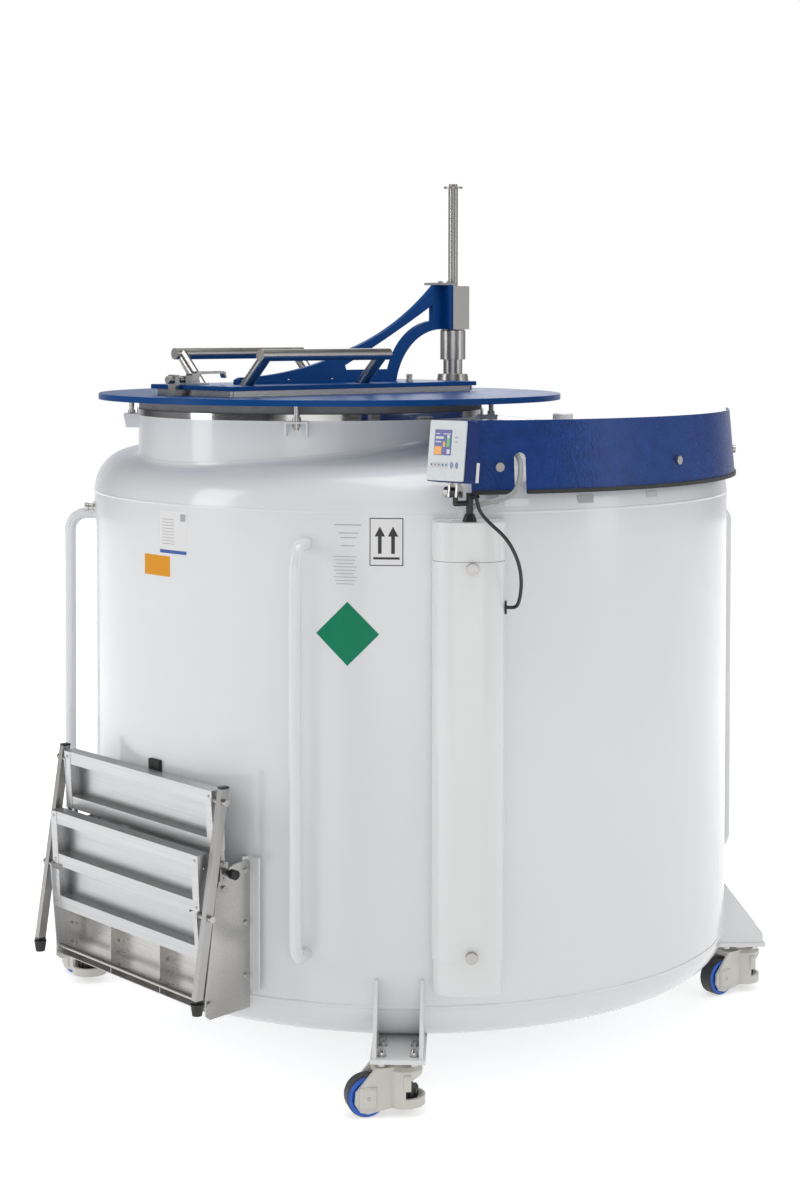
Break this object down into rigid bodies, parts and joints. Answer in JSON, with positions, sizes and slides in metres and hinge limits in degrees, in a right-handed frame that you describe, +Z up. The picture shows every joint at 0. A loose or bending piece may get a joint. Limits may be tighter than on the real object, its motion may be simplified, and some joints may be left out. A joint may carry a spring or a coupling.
{
  "type": "liquid nitrogen storage tank",
  "caption": "Wide double-walled cold storage tank on levelling casters, with an off-centre neck, disc lid, lifting small lid, display on a pillar and folding steps.",
  "frame": {"origin": "on the floor, under the axis of the tank", "axes": "+Z up along the axis of the tank, -Y to the front caster; the neck lies toward -X and -Y"},
  "size_m": [1.8409, 1.8865, 2.08],
  "materials": {
    "white_paint": "gloss",
    "stainless": "polished",
    "blue_anodised": "anodised",
    "blue_powder": "textured powder coat",
    "foam": "foam in a thin skin",
    "gasket": "soft",
    "black_rubber": "matte",
    "black_plastic": "satin",
    "grey_plastic": "satin",
    "aluminium": "brushed",
    "caster_cast": "satin",
    "wheel_blue": "satin",
    "display_blue": "satin",
    "panel_white": "gloss",
    "cord_black": "satin",
    "hose_grey": "satin"
  },
  "bodies": {
    "tank": {"outer_vessel": "white_paint", "inner_vessel": "stainless", "neck_gasket": "gasket", "neck_brackets": "white_paint", "locating_pins": "stainless", "main_lid": "blue_anodised", "lid_core": "foam", "lid_frame": "stainless", "column_base": "stainless", "lift_post": "stainless", "latch_keeper": "stainless", "dome_caps": "white_paint", "wall_handles": "white_paint", "caster_brackets": "white_paint", "caster_bolts": "stainless", "caster_plates": "stainless", "pillar_duct": "white_paint", "pillar_cover": "white_paint", "pillar_knobs": "stainless", "cable_grommet": "black_rubber", "shoulder_cover": "blue_powder", "cover_trim": "black_rubber", "cover_screws": "stainless", "display_stand": "black_plastic", "display_cable": "cord_black", "grey_hose": "hose_grey", "step_carrier": "stainless", "step_axles": "stainless", "plunger_guide": "stainless"},
    "small_lid": {"small_lid": "blue_anodised", "small_lid_core": "foam", "lid_grips": "stainless", "lift_block": "stainless", "lift_arm": "blue_anodised", "block_cap": "grey_plastic", "latch_base": "stainless"},
    "latch_lever": {"latch_lever": "stainless"},
    "draw_bolt": {"latch_draw_bolt": "stainless"},
    "rack": {"turning_rack": "aluminium"},
    "display": {"display_housing": "display_blue", "display_panel": "panel_white"},
    "knob": {"clamp_knob": "black_plastic"},
    "lower_tread": {"lower_tread": "aluminium"},
    "upper_tread": {"upper_tread": "aluminium"},
    "legs": {"step_legs": "stainless", "leg_bolts": "stainless", "leg_feet": "black_rubber"},
    "plunger": {"lock_plunger": "black_plastic"},
    "caster_front": {"caster_housing_front": "caster_cast"},
    "wheel_front": {"caster_wheel_front": "wheel_blue"},
    "leveller_front": {"caster_leveller_front": "black_rubber"},
    "caster_right": {"caster_housing_right": "caster_cast"},
    "wheel_right": {"caster_wheel_right": "wheel_blue"},
    "leveller_right": {"caster_leveller_right": "black_rubber"},
    "caster_rear": {"caster_housing_rear": "caster_cast"},
    "wheel_rear": {"caster_wheel_rear": "wheel_blue"},
    "leveller_rear": {"caster_leveller_rear": "black_rubber"},
    "caster_left": {"caster_housing_left": "caster_cast"},
    "wheel_left": {"caster_wheel_left": "wheel_blue"},
    "leveller_left": {"caster_leveller_left": "black_rubber"}
  },
  "joints": [
    {"name": "small_lid_lift", "type": "slide", "parent": "tank", "child": "small_lid", "axis": [0, 0, 1], "range_m": [0, 0.235]},
    {"name": "latch_lever_flip", "type": "hinge", "parent": "small_lid", "child": "latch_lever", "pos_m": [-0.50134, -0.4377, 1.593], "axis": [0.7071, -0.7071, 0], "range_deg": [0, 110]},
    {"name": "draw_bolt_slide", "type": "slide", "parent": "small_lid", "child": "draw_bolt", "axis": [-0.7071, -0.7071, 0], "range_m": [0, 0.008]},
    {"name": "rack_turn", "type": "hinge", "parent": "tank", "child": "rack", "pos_m": [0, 0, 0.3], "axis": [0, 0, 1], "continuous": true},
    {"name": "display_tilt", "type": "hinge", "parent": "tank", "child": "display", "pos_m": [0.121, -0.866, 1.354], "axis": [0.8191, -0.5736, 0], "range_deg": [-20, 20]},
    {"name": "clamp_knob_turn", "type": "hinge", "parent": "tank", "child": "knob", "pos_m": [0.121, -0.866, 1.354], "axis": [-0.8191, 0.5736, 0], "range_deg": [-180, 0]},
    {"name": "steps_fold", "type": "hinge", "parent": "tank", "child": "lower_tread", "pos_m": [-0.62677, -0.58447, 0.216], "axis": [0.682, -0.7314, 0], "range_deg": [0, 87]},
    {"name": "upper_tread_fold", "type": "hinge", "parent": "tank", "child": "upper_tread", "pos_m": [-0.59825, -0.55787, 0.466], "axis": [0.682, -0.7314, 0], "range_deg": [0, 87]},
    {"name": "legs_fold", "type": "hinge", "parent": "lower_tread", "child": "legs", "pos_m": [-0.63952, -0.59636, 0.41524], "axis": [0.682, -0.7314, 0], "range_deg": [-87, 0]},
    {"name": "plunger_pull", "type": "slide", "parent": "tank", "child": "plunger", "axis": [0.682, -0.7314, 0], "range_m": [0, 0.008], "stiffness_N_per_m": 400, "springref_m": -0.005},
    {"name": "swivel_front", "type": "hinge", "parent": "tank", "child": "caster_front", "pos_m": [0, -0.85, 0.1], "axis": [0, 0, 1], "continuous": true},
    {"name": "wheel_turn_front", "type": "hinge", "parent": "caster_front", "child": "wheel_front", "pos_m": [-0.07077, -0.87164, 0.045], "axis": [-0.2924, 0.9563, 0], "continuous": true},
    {"name": "leveller_down_front", "type": "slide", "parent": "caster_front", "child": "leveller_front", "axis": [0, 0, -1], "range_m": [0, 0.022]},
    {"name": "swivel_right", "type": "hinge", "parent": "tank", "child": "caster_right", "pos_m": [0.84793, 0.05929, 0.1], "axis": [0, 0, 1], "continuous": true},
    {"name": "wheel_turn_right", "type": "hinge", "parent": "caster_right", "child": "wheel_right", "pos_m": [0.79042, 0.01272, 0.045], "axis": [-0.6293, 0.7771, 0], "continuous": true},
    {"name": "leveller_down_right", "type": "slide", "parent": "caster_right", "child": "leveller_right", "axis": [0, 0, -1], "range_m": [0, 0.022]},
    {"name": "swivel_rear", "type": "hinge", "parent": "tank", "child": "caster_rear", "pos_m": [0, 0.85, 0.1], "axis": [0, 0, 1], "continuous": true},
    {"name": "wheel_turn_rear", "type": "hinge", "parent": "caster_rear", "child": "wheel_rear", "pos_m": [0.037, 0.91409, 0.045], "axis": [0.866, -0.5, 0], "continuous": true},
    {"name": "leveller_down_rear", "type": "slide", "parent": "caster_rear", "child": "leveller_rear", "axis": [0, 0, -1], "range_m": [0, 0.022]},
    {"name": "swivel_left", "type": "hinge", "parent": "tank", "child": "caster_left", "pos_m": [-0.84677, 0.07408, 0.1], "axis": [0, 0, 1], "continuous": true},
    {"name": "wheel_turn_left", "type": "hinge", "parent": "caster_left", "child": "wheel_left", "pos_m": [-0.88921, 0.1347, 0.045], "axis": [0.8191, 0.5736, 0], "continuous": true},
    {"name": "leveller_down_left", "type": "slide", "parent": "caster_left", "child": "leveller_left", "axis": [0, 0, -1], "range_m": [0, 0.022]}
  ],
  "couplings": [
    {"joint": "upper_tread_fold", "follows": "steps_fold", "ratio": 1},
    {"joint": "legs_fold", "follows": "steps_fold", "ratio": -1},
    {"joint": "draw_bolt_slide", "follows": "latch_lever_flip", "m_per_rad": 0.004167}
  ]
}
